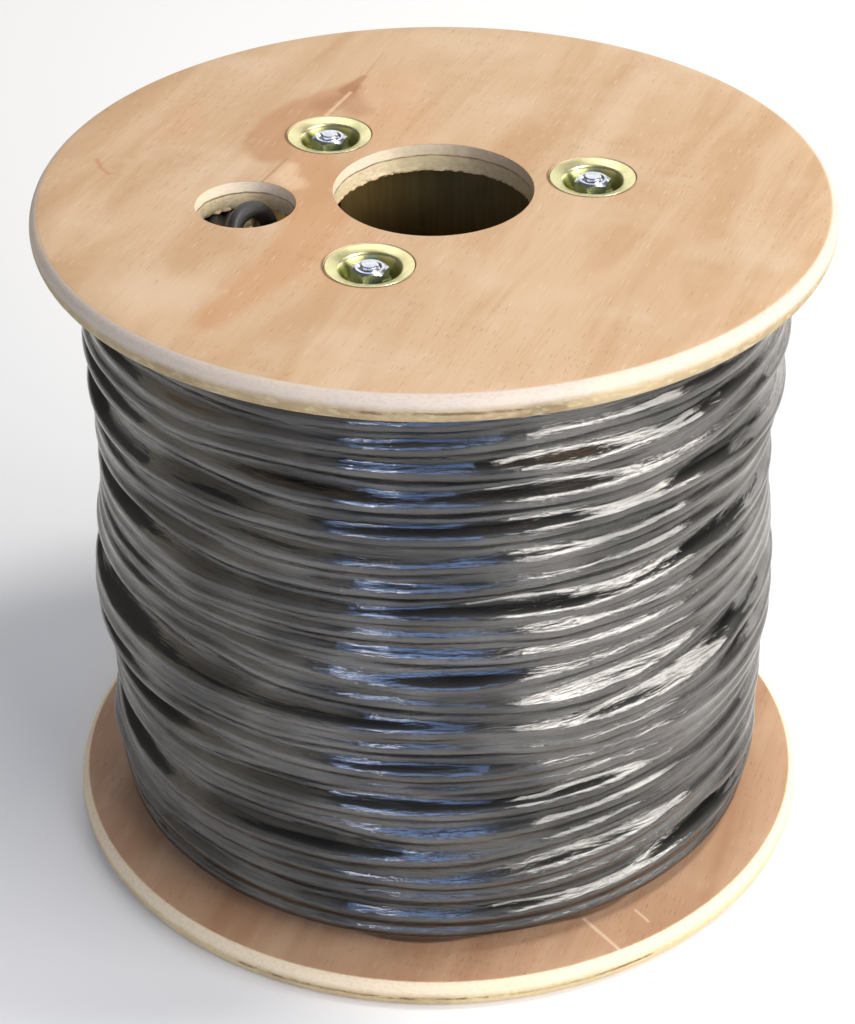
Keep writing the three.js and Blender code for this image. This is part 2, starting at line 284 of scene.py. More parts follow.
# A drill whose lower end wanders, so that the hole's far edge looks torn
def holeCutter(diameter, place, thickness, seed):
    radius, torn = diameter / 2, flangeShape["tornDepth"]
    levels = [-2.0, 0.0, torn * 0.35, torn * 0.7, torn, thickness + 2.0]
    outline = [(radius, level) for level in levels] + [(0.0, levels[-1]), (0.0, levels[0])]
    cutter = spinOutline("drill", outline, 180 if radius > 30 else 120)
    for vertex in cutter.data.vertices:
        across = Vector((vertex.co.x, vertex.co.y))
        level = vertex.co.z / mm
        if across.length < 0.9 * radius * mm or level > torn * 0.8:
            continue
        turn = math.atan2(across.y, across.x)
        ring = Vector((math.cos(turn), math.sin(turn), level * 0.12)) * radius
        tear = noise.noise(ring * 0.55 + Vector((seed, 0, 0)))
        tear += 0.6 * noise.noise(ring * 1.7 + Vector((0, seed, 0)))
        share = 1 - max(level, 0) / torn
        across *= 1 + flangeShape["tearing"] * tear * share / radius
        vertex.co.x, vertex.co.y = across.x, across.y
    cutter.data.transform(Matrix.Translation(place))
    return cutter


def cupSeatCutter(place, thickness):
    hole = flangeShape["boltHole"] / 2
    outline = [(r, thickness + z) for r, z in flangeShape["cupSeat"]]
    outline += [(hole, outline[-1][1]), (hole, -2.0), (0.0, -2.0), (0.0, thickness + 1.0)]
    return spinOutline("seatDrill", outline[::-1], 64, place)


def buildFlange(name, node, material, outward, withStartHole):
    low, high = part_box(node)
    thickness = (high.z - low.z) / mm
    flange = spinOutline(name, flangeOutline(thickness), flangeShape["steps"])
    cutAway(flange, holeCutter(flangeShape["boreDiameter"], Vector(), thickness, 3.0 + outward))
    for place in boltPlaces:
        seat = Vector((place.x, place.y * outward, 0))  # the bottom flange is turned over afterwards
        cutAway(flange, cupSeatCutter(seat, thickness))
    if withStartHole:
        middle = Vector((-(barrelBox[1].x - flangeShape["startHoleInset"] * mm), 0, 0))
        cutAway(flange, holeCutter(flangeShape["startHoleDiameter"], middle, thickness, 9.0))
    if outward > 0:
        flange.data.transform(Matrix.Translation((0, 0, low.z)))
    else:
        flange.data.transform(Matrix.Translation((0, 0, high.z)) @ Matrix.Rotation(math.pi, 4, "X"))
    smoothShade(flange, 28)
    finishPiece(flange, material, "plywood", node)
    return flange


# A colour given as it looks on a screen, 0 to 255
def tone(*channels):
    return (*(((c / 255 + 0.055) / 1.055) ** 2.4 if c > 10 else c / 255 / 12.92 for c in channels), 1.0)


# Adds a shader node; an input is given a value or another node's output
def addNode(tree, kind, inputs=None, **settings):
    made = tree.nodes.new("ShaderNode" + kind)
    for setting, value in settings.items():
        setattr(made, setting, value)
    for socket, value in (inputs or {}).items():
        if isinstance(value, bpy.types.NodeSocket):
            tree.links.new(value, made.inputs[socket])
        else:
            made.inputs[socket].default_value = value
    return made


def sums(tree, operation, first, second=0.0, third=0.0, clamp=False):
    inputs = {0: first, 1: second, 2: third}
    return addNode(tree, "Math", inputs, operation=operation, use_clamp=clamp).outputs[0]


def times(tree, first, second):
    return sums(tree, "MULTIPLY", first, second)


def minus(tree, first, second):
    return sums(tree, "SUBTRACT", first, second)


def splitAxes(tree, vector):
    return addNode(tree, "SeparateXYZ", {"Vector": vector}).outputs


def joinAxes(tree, x, y, z):
    return addNode(tree, "CombineXYZ", {"X": x, "Y": y, "Z": z}).outputs[0]


def vectorSum(tree, operation, first, second=(0, 0, 0)):
    made = addNode(tree, "VectorMath", {0: first, 1: second}, operation=operation)
    return made.outputs["Value" if operation in ("DOT_PRODUCT", "LENGTH", "DISTANCE") else "Vector"]


def stretched(tree, vector, scale, move=(0, 0, 0), turn=0.0):
    inputs = {"Vector": vector, "Location": move, "Rotation": (0, 0, turn), "Scale": scale}
    return addNode(tree, "Mapping", inputs).outputs[0]


def grainNoise(tree, vector, scale, detail=3.0, roughness=0.55, distortion=0.0):
    return addNode(tree, "TexNoise", {
        "Vector": vector, "Scale": scale, "Detail": detail, "Roughness": roughness, "Distortion": distortion,
    }).outputs["Fac"]


def spread(tree, value, low, high, toLow=0.0, toHigh=1.0, smooth=True):
    return addNode(tree, "MapRange", {
        "Value": value, "From Min": low, "From Max": high, "To Min": toLow, "To Max": toHigh,
    }, interpolation_type="SMOOTHSTEP" if smooth else "LINEAR").outputs["Result"]


def blended(tree, share, first, second):
    inputs = {0: share, 6: first, 7: second}
    return addNode(tree, "Mix", inputs, data_type="RGBA", clamp_factor=True).outputs[2]


def newGroup(name, inputs, outputs):
    tree = bpy.data.node_groups.new(name, "ShaderNodeTree")
    for label, kind, value in inputs:
        socket = tree.interface.new_socket(name=label, in_out="INPUT", socket_type="NodeSocket" + kind)
        if value is not None:
            socket.default_value = value
    for label, kind in outputs:
        tree.interface.new_socket(name=label, in_out="OUTPUT", socket_type="NodeSocket" + kind)
    return tree, tree.nodes.new("NodeGroupInput"), tree.nodes.new("NodeGroupOutput")


def fillGroup(tree, group, inputs):
    return addNode(tree, "Group", inputs, node_tree=group).outputs


def newMaterial(name):
    material = bpy.data.materials.new(name)
    material.use_nodes = True
    tree = material.node_tree
    shader = tree.nodes["Principled BSDF"]
    place = addNode(tree, "TexCoord").outputs["Object"]
    return material, tree, shader, inMillimetres(tree, place)


def inMillimetres(tree, place):
    made = addNode(tree, "VectorMath", {0: place}, operation="SCALE")
    made.inputs["Scale"].default_value = 1000.0
    return made.outputs["Vector"]


def addBump(tree, shader, height, strength, distance):
    bump = addNode(tree, "Bump", {"Height": height, "Strength": strength, "Distance": distance * mm})
    tree.links.new(bump.outputs["Normal"], shader.inputs["Normal"])


# How far a place lies outside a stroke whose reach changes from one end to the other
def makeStrokeGroup():
    tree, given, result = newGroup("strokeReach", [
        ("Vector", "Vector", None), ("Start", "Vector", None), ("End", "Vector", None),
        ("Start Reach", "Float", 5.0), ("End Reach", "Float", 5.0)], [("Outside", "Float")])
    offset = vectorSum(tree, "SUBTRACT", given.outputs["Vector"], given.outputs["Start"])
    along = vectorSum(tree, "SUBTRACT", given.outputs["End"], given.outputs["Start"])
    length = sums(tree, "MAXIMUM", vectorSum(tree, "DOT_PRODUCT", along, along), 0.0001)
    share = sums(tree, "DIVIDE", vectorSum(tree, "DOT_PRODUCT", offset, along), length, clamp=True)
    onLine = addNode(tree, "VectorMath", {0: along, "Scale": share}, operation="SCALE").outputs["Vector"]
    away = vectorSum(tree, "LENGTH", vectorSum(tree, "SUBTRACT", offset, onLine))
    shrink = minus(tree, given.outputs["Start Reach"], given.outputs["End Reach"])
    outside = minus(tree, sums(tree, "MULTIPLY_ADD", share, shrink, away), given.outputs["Start Reach"])
    tree.links.new(outside, result.inputs["Outside"])
    return tree


# Veneer grain along X: broad bands, fine fibres and short open pores
def makeGrainGroup():
    tree, given, result = newGroup("veneerGrain", [
        ("Vector", "Vector", None), ("Seed", "Float", 0.0), ("Pore Share", "Float", 0.3)],
        [("Bands", "Float"), ("Fibres", "Float"), ("Pores", "Float"), ("Flecks", "Float")])
    seed = given.outputs["Seed"]
    place = vectorSum(tree, "ADD", given.outputs["Vector"], joinAxes(tree, seed, seed, 0.0))
    bands = grainNoise(tree, stretched(tree, place, (0.006, 0.03, 0.02)), 1.0, 3.0, 0.55, 0.8)
    fibres = grainNoise(tree, stretched(tree, place, (0.035, 1.1, 0.5)), 1.0, 4.0, 0.6, 0.2)

    def dashes(long, wide, seed, limit):
        cells = addNode(tree, "TexVoronoi", {
            "Vector": stretched(tree, place, (1 / long, 1 / wide, 0.02), (seed, seed, 0)), "Scale": 1.0,
            "Randomness": 1.0}, feature="F1", voronoi_dimensions="2D")
        near = spread(tree, cells.outputs["Distance"], limit, limit * 0.45)
        chance = addNode(tree, "SeparateColor", {"Color": cells.outputs["Color"]}).outputs["Red"]
        return near, chance

    where = grainNoise(tree, stretched(tree, place, (0.012, 0.02, 0.02), (3, 5, 0)), 1.0, 2.0)
    share = times(tree, given.outputs["Pore Share"], spread(tree, where, 0.42, 0.68, 0.06, 1.4))
    near, chance = dashes(9.0, 0.9, 0.0, 0.26)
    shown = sums(tree, "LESS_THAN", chance, share)
    near2, chance2 = dashes(4.6, 0.8, 7.3, 0.26)
    shown2 = sums(tree, "LESS_THAN", chance2, share)
    depth = sums(tree, "MULTIPLY_ADD", chance2, 0.5, 0.5)
    pores = times(tree, sums(tree, "MAXIMUM", times(tree, near, shown), times(tree, near2, shown2)), depth)
    near3, chance3 = dashes(15.0, 1.2, 3.1, 0.22)
    flecks = times(tree, near3, sums(tree, "LESS_THAN", chance3, 0.12))
    for label, value in (("Bands", bands), ("Fibres", fibres), ("Pores", pores), ("Flecks", flecks)):
        tree.links.new(value, result.inputs[label])
    return tree


# The sawn and sanded edge of the plywood, by depth from the outer face; on the rim the lower band's colour
# also holds painted shade
def makePlyEdgeGroup():
    tree, given, result = newGroup("plyEdge", [
        ("Vector", "Vector", None), ("Depth", "Float", 0.0), ("Upper", "Color", tone(250, 236, 214)),
        ("Lower", "Color", tone(222, 205, 160)), ("Glue", "Color", tone(112, 84, 52)),
        ("Glue Depth", "Float", 7.0), ("Glue Share", "Float", 1.0), ("Joined", "Float", 0.0),
        ("Fade", "Float", 1.0), ("Glue Width", "Float", 0.6), ("Veneer", "Color", tone(206, 165, 120))],
        [("Color", "Color"), ("Height", "Float")])
    vector, glueDepth, wide = (given.outputs[name] for name in ("Vector", "Glue Depth", "Glue Width"))
    wobble = minus(tree, grainNoise(tree, vector, 0.14, 4.0, 0.6), 0.5)
    depth = sums(tree, "MULTIPLY_ADD", wobble, 1.5, given.outputs["Depth"])
    upperEnd, lowerStart = minus(tree, glueDepth, given.outputs["Fade"]), sums(tree, "ADD", glueDepth, 0.3)
    lower = spread(tree, depth, upperEnd, lowerStart)
    colour = blended(tree, lower, given.outputs["Upper"], given.outputs["Lower"])

    # End grain, patches and mottling
    ends = grainNoise(tree, stretched(tree, vector, (0.5, 0.5, 1.4)), 1.0, 5.0, 0.65)
    broad = grainNoise(tree, vector, 0.02, 2.0)
    patches = grainNoise(tree, stretched(tree, vector, (0.2, 0.2, 0.5), (7, 2, 5)), 1.0, 4.0, 0.6)
    patches = times(tree, spread(tree, patches, 0.46, 0.66, 0.0, 0.5), lower)
    mottle = times(tree, spread(tree, ends, 0.42, 0.75), spread(tree, lower, 0.0, 1.0, 0.3, 0.65))
    colour = blended(tree, patches, colour, tone(206, 190, 150))
    colour = blended(tree, mottle, colour, tone(166, 138, 92))
    colour = blended(tree, spread(tree, broad, 0.4, 0.7, 0.0, 0.3), colour, tone(240, 214, 170))

    # The glue line, in dashes where it isn't joined
    offGlue = sums(tree, "ABSOLUTE", minus(tree, depth, glueDepth))
    dashes = grainNoise(tree, stretched(tree, vector, (0.11, 0.11, 0.4), (4, 9, 1)), 1.0, 4.0, 0.7)
    glue = times(tree, spread(tree, offGlue, wide, times(tree, wide, 0.3)),
                 spread(tree, dashes, 0.38, 0.56, given.outputs["Joined"], 1.0))
    glue = times(tree, glue, given.outputs["Glue Share"])
    colour = blended(tree, times(tree, glue, 0.85), colour, given.outputs["Glue"])

    # The face veneers seen edge on
    skin = sums(tree, "MAXIMUM", spread(tree, given.outputs["Depth"], 0.3, 0.2, 0.0, 0.5),
                spread(tree, given.outputs["Depth"], 11.3, 11.5))
    colour = blended(tree, times(tree, skin, 0.7), colour, given.outputs["Veneer"])
    tree.links.new(colour, result.inputs["Color"])
    height = sums(tree, "MULTIPLY_ADD", glue, -0.4, times(tree, ends, 0.4))
    tree.links.new(height, result.inputs["Height"])
    return tree


# Dust and dirt that settles unevenly
def makeGrimeGroup():
    tree, given, result = newGroup("settledGrime", [
        ("Vector", "Vector", None), ("Size", "Float", 0.08), ("Amount", "Float", 0.5)], [("Mask", "Float")])
    broad = grainNoise(tree, given.outputs["Vector"], given.outputs["Size"], 6.0, 0.7)
    limit = minus(tree, 0.75, times(tree, given.outputs["Amount"], 0.35))
    mask = spread(tree, broad, limit, sums(tree, "ADD", limit, 0.14))
    tree.links.new(mask, result.inputs["Mask"])
    return tree


strokeGroup = makeStrokeGroup()
grainGroup = makeGrainGroup()
plyEdgeGroup = makePlyEdgeGroup()
grimeGroup = makeGrimeGroup()


topWood = {
    "grainAngle": 59.0,  # degrees round from +X
    "seed": 0.0,
    "pores": 0.18,
    "light": tone(205, 171, 134),
    "dark": tone(190, 150, 108),
    "pore": tone(152, 106, 70),
    "fleck": tone(218, 194, 164),
    "fibre": tone(178, 136, 97),
    "edgeUpper": tone(208, 192, 175),
    # the rim's lower band: the ply's own tan, darkened further as painted shade where the rounding faces down
    "rimLowerPlyAndShade": tone(164, 143, 106),
    "glueDepth": 5.1,
    "rimGlueDepth": 6.8,
    "rimGlue": ([(-47, -153, 4), (-26, -158, 4), (0, -160, 4)], 3, 4, 0.2, 1.0),
    # whether the gaps round the washers get painted shadow and dirt
    "shadowAndDirtInGaps": True,
    "holeUpper": tone(240, 221, 194),
    "holeLower": tone(224, 206, 168),
    # points with their reach; softness, wander, size of the wander, strength, colour
    "marks": [
        ([(-4, 96, 9), (-6, 66, 10), (-8, 44, 9)], 16, 9, 0.06, 0.42, tone(205, 156, 112)),
        ([(-44, 40, 6), (-46, 12, 8), (-49, -16, 9), (-60, -42, 7), (-80, -68, 6), (-99, -91, 3)],
         7, 9, 0.07, 0.62, tone(192, 138, 90)),
        ([(-40, -20, 8), (-52, -60, 8)], 14, 8, 0.06, 0.35, tone(202, 152, 106)),
        ([(-60, 44, 7), (-59, 56, 8), (-50, 70, 9), (-38, 82, 8), (-26, 92, 5), (-19, 98, 3)],
         4.5, 3, 0.1, 0.66, tone(180, 128, 84)),
        ([(-32, 84, 3), (-22, 88, 4), (-19, 76, 3)], 5, 3, 0.12, 0.4, tone(158, 100, 62)),
        ([(-21, 96, 3), (-12, 109, 0.4)], 1.6, 1.5, 0.15, 0.66, tone(158, 104, 62)),
        ([(-12, 109, 0.2), (0, 132, 0.1)], 0.8, 0.5, 0.2, 0.35, tone(180, 130, 90)),
        ([(-33, 74, 0.5), (-20, 94, 0.3)], 0.9, 1, 0.3, 0.7, tone(226, 190, 150)),
        ([(-54, 37, 0.25), (-67, 17, 0.25)], 0.6, 0.6, 0.2, 0.6, tone(170, 116, 72)),
        ([(-53, 30, 0.5), (-56, 22, 2.5), (-54, 14, 3)], 4, 2, 0.12, 0.5, tone(232, 200, 162)),
        ([(-130, 50, 0.5), (-129, 42, 0.5), (-126, 36, 0.3)], 0.9, 1.2, 0.3, 0.5, tone(184, 116, 76)),
        ([(-103, 66, 2), (-92, 74, 5), (-90, 90, 3)], 9, 9, 0.08, 0.35, tone(204, 154, 116)),
        ([(-20, -78, 0.3), (8, -44, 0.3)], 0.8, 0.8, 0.2, 0.25, tone(196, 146, 104)),
        ([(-62, -118, 0.3), (-42, -84, 0.3)], 0.8, 0.8, 0.2, 0.3, tone(196, 146, 104)),
    ],
    "wallMarks": [
        ([(26, 31, 3), (38, 14, 5), (40, 2, 3)], 14, 14, 0.35, 0.55, tone(122, 98, 62)),
        ([(-4, 40, 2), (12, 38, 3)], 9, 10, 0.3, 0.35, tone(150, 132, 78)),
        ([(-62, 16, 2), (-56, 8, 3)], 8, 8, 0.3, 0.3, tone(150, 118, 92)),
    ],
    "lowerMarks": [
        ([(-116, -109, 4), (-88, -132, 5), (-56, -149, 4)], 6, 14, 0.25, 0.4, tone(122, 96, 60)),
        ([(8, -160, 2), (18, -159, 2)], 3, 8, 0.4, 0.5, tone(96, 72, 46)),
        ([(96, -128, 4), (128, -95, 4)], 6, 14, 0.25, 0.3, tone(140, 112, 72)),
    ],
}
# The bottom flange: another veneer, its tones set darker partly as painted shade from the top flange and
# winding above it
bottomWoodWithShade = {
    "grainAngle": 62.0,
    "seed": 431.0,
    "pores": 0.2,
    "light": tone(192, 152, 118),
    "dark": tone(174, 130, 96),
    "pore": tone(140, 94, 64),
    "fleck": tone(206, 174, 140),
    "fibre": tone(160, 118, 86),
    "edgeUpper": tone(236, 216, 184),
    # the rim's lower band: the ply's own tan, darkened further as painted shade where the rounding faces down
    "rimLowerPlyAndShade": tone(206, 184, 138),
    "glueDepth": 6.6,
    "rimGlueDepth": 6.6,
    "rimGlue": ([(-100, -125, 4), (-26, -158, 4), (60, -148, 4)], 3, 4, 0.2, 1.0),
    "shadowAndDirtInGaps": False,
    "holeUpper": tone(226, 209, 184),
    "holeLower": tone(216, 196, 158),
    "marks": [
        ([(40, -128, 0.4), (51, -150, 0.4)], 0.7, 0.6, 0.2, 0.7, tone(232, 200, 166)),
        ([(62, -126, 0.3), (66, -134, 0.3)], 0.6, 0.6, 0.2, 0.6, tone(232, 200, 166)),
    ],
    "wallMarks": [],
    "lowerMarks": [([(-90, -131, 4), (-30, -156, 5)], 6, 14, 0.25, 0.35, tone(140, 108, 70))],
}


# One mark: a run of strokes that count as one, with a soft edge that wanders
def strokeMask(tree, vector, path, softness, wander, waves, strength):
    nearest = None
    for (x0, y0, reach0), (x1, y1, reach1) in zip(path, path[1:]):
        outside = fillGroup(tree, strokeGroup, {
            "Vector": vector, "Start": (x0, y0, 0), "End": (x1, y1, 0), "Start Reach": reach0,
            "End Reach": reach1})["Outside"]
        nearest = sums(tree, "MINIMUM", nearest, outside) if nearest else outside
    ragged = sums(tree, "MULTIPLY_ADD", waves, wander, nearest)
    faded = sums(tree, "MULTIPLY_ADD", ragged, 1 / softness, -0.5 * wander / softness, clamp=True)
    return sums(tree, "MULTIPLY_ADD", faded, -strength, strength)


def edgeWaves(tree, vector, size):
    return grainNoise(tree, vector, size, 4.0, 0.5)


# Stains, streaks and scratches; marks whose edges wander at one size share a noise
def marked(tree, vector, colour, marks):
    waves = {}
    for path, softness, wander, size, strength, mark in marks:
        if size not in waves:
            waves[size] = edgeWaves(tree, vector, size)
        mask = strokeMask(tree, vector, path, softness, wander, waves[size], strength)
        colour = blended(tree, mask, colour, mark)
    return colour


# Painted shadow and dirt in the gap round the cup washers, darker on the side away from the light
def gapShadowAndDirt(tree, vector, colour):
    for place in boltPlaces:
        offset = vectorSum(tree, "SUBTRACT", vector, (place.x / mm, place.y / mm, 0))
        side = vectorSum(tree, "DOT_PRODUCT", offset, (-0.035, -0.045, 0))  # 1 on the side of the painted shadow and dirt, -1 opposite
        ring = spread(tree, vectorSum(tree, "LENGTH", offset), 19.0, 18.1)
        shadowAndDirt = times(tree, ring, spread(tree, side, -0.3, 0.5, 0.0, 0.85))
        colour = blended(tree, shadowAndDirt, colour, tone(98, 68, 34))
    return colour


# The flat face of a flange: rotary-cut veneer with its marks
def veneerColour(tree, flat, grain, look):
    colour = blended(tree, spread(tree, grain["Bands"], 0.35, 0.68), look["light"], look["dark"])
    colour = blended(tree, spread(tree, grain["Fibres"], 0.5, 0.8, 0.0, 0.4), colour, look["fibre"])
    cloud = grainNoise(tree, stretched(tree, flat, (0.02, 0.02, 1), (look["seed"], 3, 0)), 1.0, 3.0)
    colour = blended(tree, spread(tree, cloud, 0.45, 0.7, 0.0, 0.35), colour, look["fleck"])
    colour = marked(tree, flat, colour, look["marks"])
    colour = blended(tree, times(tree, grain["Flecks"], 0.45), colour, look["fleck"])
    colour = blended(tree, times(tree, grain["Pores"], 0.45), colour, look["pore"])
    # painted shadow and dirt round the washers, where the look asks for it
    return gapShadowAndDirt(tree, flat, colour) if look["shadowAndDirtInGaps"] else colour


# The rim and the walls of the holes: colour and relief
def edgeFinish(tree, place, flat, depth, look):
    axes = splitAxes(tree, place)
    inHole = spread(tree, vectorSum(tree, "LENGTH", flat), 130.0, 115.0)

    def rimAndHole(rim, hole):
        return spread(tree, inHole, 0.0, 1.0, rim, hole)

    # on the rim the lower band is ply colour with painted shade; in the holes it is the ply's colour only
    lower = blended(tree, inHole, look["rimLowerPlyAndShade"], look["holeLower"])
    path, softness, wander, size, strength = look["rimGlue"]
    rimGlue = strokeMask(tree, flat, path, softness, wander, edgeWaves(tree, flat, size), strength)
    edge = fillGroup(tree, plyEdgeGroup, {
        "Vector": place, "Depth": depth, "Upper": blended(tree, inHole, look["edgeUpper"], look["holeUpper"]),
        "Lower": marked(tree, flat, lower, look["lowerMarks"]),
        "Glue Depth": rimAndHole(look["rimGlueDepth"], look["glueDepth"]),
        "Glue Share": sums(tree, "MAXIMUM", inHole, rimGlue), "Joined": times(tree, inHole, 0.6),
        "Fade": rimAndHole(3.4, 0.6), "Glue Width": rimAndHole(0.95, 0.55)})
    onWall = joinAxes(tree, axes["X"], axes["Y"], times(tree, minus(tree, depth, 6.0), 0.8))
    return marked(tree, onWall, edge["Color"], look["wallMarks"]), edge["Height"]


def makeWood(name, look, outerHeight, upwards):
    material, tree, shader, place = newMaterial(name)
    axes = splitAxes(tree, place)
    flat = joinAxes(tree, axes["X"], axes["Y"], 0.0)
    depth = minus(tree, *((outerHeight, axes["Z"]) if upwards else (axes["Z"], outerHeight)))
    grained = stretched(tree, flat, (1, 1, 1), turn=math.radians(-look["grainAngle"]))
    grain = fillGroup(tree, grainGroup, {
        "Vector": grained, "Seed": look["seed"], "Pore Share": look["pores"]})
    edgeColour, edgeHeight = edgeFinish(tree, place, flat, depth, look)

    # The face gives way to the edge within a ragged fraction of a millimetre
    fromFace = sums(tree, "MINIMUM", depth, minus(tree, flangeThickness, depth))
    ragged = times(tree, grainNoise(tree, place, 0.6, 2.0), 0.12)
    face = spread(tree, fromFace, sums(tree, "ADD", ragged, 0.16), ragged)
    colour = blended(tree, face, edgeColour, veneerColour(tree, flat, grain, look))
    tree.links.new(colour, shader.inputs["Base Color"])
    tree.links.new(spread(tree, grain["Fibres"], 0.3, 0.8, 0.5, 0.66), shader.inputs["Roughness"])
    shader.inputs["Specular IOR Level"].default_value = 0.35
    relief = minus(tree, times(tree, grain["Fibres"], 0.25), grain["Pores"])
    height = sums(tree, "ADD", times(tree, relief, face), times(tree, edgeHeight, minus(tree, 1.0, face)))
    addBump(tree, shader, height, 0.5, 0.25)
    return material


boardLook = {
    "endFrom": 132.6,  # the sawn end starts this far up from the middle
    "wall": tone(144, 118, 60), "wallDark": tone(132, 106, 50), "blotch": tone(112, 84, 40),
    "end": tone(222, 202, 166), "endDark": tone(190, 160, 118),
}


def makeBoard():
    material, tree, shader, place = newMaterial("barrelBoard")
    fibres = grainNoise(tree, stretched(tree, place, (0.5, 0.5, 0.03)), 1.0, 4.0, 0.6)
    blotches = grainNoise(tree, place, 0.03, 4.0)
    upFromMiddle = sums(tree, "ABSOLUTE", minus(tree, splitAxes(tree, place)["Z"], topFace / mm / 2))
    sawnEnd = spread(tree, upFromMiddle, boardLook["endFrom"], boardLook["endFrom"] + 1.0)
    wall = blended(tree, spread(tree, fibres, 0.35, 0.7), boardLook["wall"], boardLook["wallDark"])
    end = blended(tree, spread(tree, fibres, 0.35, 0.7), boardLook["end"], boardLook["endDark"])
    colour = blended(tree, sawnEnd, wall, end)
    colour = blended(tree, spread(tree, blotches, 0.4, 0.7, 0.0, 0.5), colour, boardLook["blotch"])
    grime = fillGroup(tree, grimeGroup, {"Vector": place, "Size": 0.12, "Amount": 0.4})["Mask"]
    colour = blended(tree, times(tree, grime, 0.4), colour, tone(90, 62, 38))
    tree.links.new(colour, shader.inputs["Base Color"])
    tree.links.new(spread(tree, fibres, 0.3, 0.8, 0.7, 0.9), shader.inputs["Roughness"])
    addBump(tree, shader, fibres, 0.3, 0.15)
    return material


jacketLook = {
    "dark": (0.018, 0.016, 0.013, 1.0), "worn": (0.045, 0.041, 0.035, 1.0), "roughness": (0.38, 0.55),
}


def makeJacket():
    material, tree, shader, place = newMaterial("cableJacket")
    streaks = grainNoise(tree, stretched(tree, place, (0.02, 0.02, 0.5)), 1.0, 4.0, 0.6)
    dust = fillGroup(tree, grimeGroup, {"Vector": place, "Size": 0.05, "Amount": 0.5})["Mask"]
    share = sums(tree, "MULTIPLY_ADD", dust, 0.3, spread(tree, streaks, 0.35, 0.7, 0.0, 0.7), clamp=True)
    tree.links.new(blended(tree, share, jacketLook["dark"], jacketLook["worn"]), shader.inputs["Base Color"])
    low, high = jacketLook["roughness"]
    tree.links.new(spread(tree, streaks, 0.3, 0.7, low, high), shader.inputs["Roughness"])
    fine = grainNoise(tree, stretched(tree, place, (0.8, 0.8, 3.0)), 1.0, 3.0)
    addBump(tree, shader, fine, 0.15, 0.1)
    return material


filmLook = {
    "ior": 1.44,
    "plies": (0.028, 0.108),  # what fewest and most rounds of film add to its cover
    "lowShare": 0.68,  # of that, what is left near the bottom
    "roughness": (0.02, 0.075),
    "wrinkle": 0.95,
    "tint": (1.0, 0.965, 0.915, 1.0),
}


# Clear film that mirrors like glass, and covers more where more rounds of it lie
def makeFilm():
    material, tree, shader, place = newMaterial("clearStretchFilm")

    def folds(scale, move, detail, roughness=0.4):
        return grainNoise(tree, stretched(tree, place, scale, move), 1.0, detail, roughness)

    def crest(value):
        return sums(tree, "ABSOLUTE", minus(tree, value, 0.5))

    facing = addNode(tree, "Fresnel", {"IOR": filmLook["ior"]}).outputs["Fac"]
    laps = folds((0.02, 0.02, 0.035), (4, 1, 8), 2.0, 0.5)
    lowDown = spread(tree, splitAxes(tree, place)["Z"], 30, 120, filmLook["lowShare"], 1.0)
    plies = times(tree, spread(tree, laps, 0.36, 0.64, *filmLook["plies"]), lowDown)
    tree.links.new(sums(tree, "ADD", facing, plies, clamp=True), shader.inputs["Alpha"])
    shader.inputs["Base Color"].default_value = filmLook["tint"]
    shader.inputs["Metallic"].default_value = 1.0
    streaks = folds((0.012, 0.012, 0.35), (0, 0, 0), 4.0, 0.6)
    tree.links.new(spread(tree, streaks, 0.3, 0.75, *filmLook["roughness"]), shader.inputs["Roughness"])

    # Long folds, sharp ridges, soft ripples, and crinkles where the film is doubled
    long = crest(folds((0.022, 0.022, 0.34), (5, 2, 1), 2.0))
    ridges = spread(tree, crest(folds((0.05, 0.05, 0.9), (3, 7, 5), 1.0)), 0.0, 0.05, 0.03, 0.0, smooth=False)
    ripples = folds((0.035, 0.035, 0.09), (2, 6, 3), 1.0)
    crinkles = folds((0.07, 0.07, 0.75), (9, 4, 7), 3.0, 0.65)
    height = sums(tree, "MULTIPLY_ADD", long, -0.5, sums(tree, "MULTIPLY_ADD", ripples, 1.2, ridges))
    height = sums(tree, "MULTIPLY_ADD", crinkles, spread(tree, laps, 0.4, 0.6, 0.16, 0.5), height)
    addBump(tree, shader, height, filmLook["wrinkle"], 0.8)
    return material


def makeZinc(name, plain, tinted, roughness, tintSize, cupShadeTone=None):
    material, tree, shader, place = newMaterial(name)
    film = grainNoise(tree, place, tintSize, 3.0, 0.5, 0.6)
    colour = blended(tree, spread(tree, film, 0.35, 0.7), plain, tinted)
    grime = fillGroup(tree, grimeGroup, {"Vector": place, "Size": 0.3, "Amount": 0.15})["Mask"]
    colour = blended(tree, times(tree, grime, 0.3), colour, tone(124, 112, 74))
    # painted shade: the zinc turns a darker olive down into the cup, by its depth
    if cupShadeTone:
        depth = addNode(tree, "Attribute", attribute_name="cupDepth").outputs["Fac"]
        colour = blended(tree, spread(tree, depth, 0.15, 0.5), colour, cupShadeTone)
    tree.links.new(colour, shader.inputs["Base Color"])
    shader.inputs["Metallic"].default_value = 1.0
    scuffs = grainNoise(tree, stretched(tree, place, (0.5, 0.9, 0.7)), 1.0, 4.0, 0.6)
    rough = spread(tree, scuffs, 0.3, 0.75, roughness - 0.02, roughness + 0.06)
    tree.links.new(rough, shader.inputs["Roughness"])
    addBump(tree, shader, scuffs, 0.06, 0.05)
    return material


plywoodTop = makeWood("plywoodTop", topWood, topFace / mm, True)
plywoodBottomShaded = makeWood("plywoodBottomShaded", bottomWoodWithShade, lowFace / mm, True)
barrelBoard = makeBoard()
cableJacket = makeJacket()
stretchFilm = makeFilm()
yellowZinc = makeZinc("yellowZinc", tone(236, 224, 172), tone(216, 214, 158), 0.3, 0.12, tone(146, 148, 88))
brightZinc = makeZinc("brightZinc", tone(214, 216, 222), tone(190, 194, 204), 0.2, 0.3)
print("stage 4: finishes mixed")

buildFlange("plywood_flange_top", "top_flange", plywoodTop, 1, True)
buildFlange("plywood_flange_bottom", "bottom_flange", plywoodBottomShaded, -1, False)
print("stage 5: flanges turned")

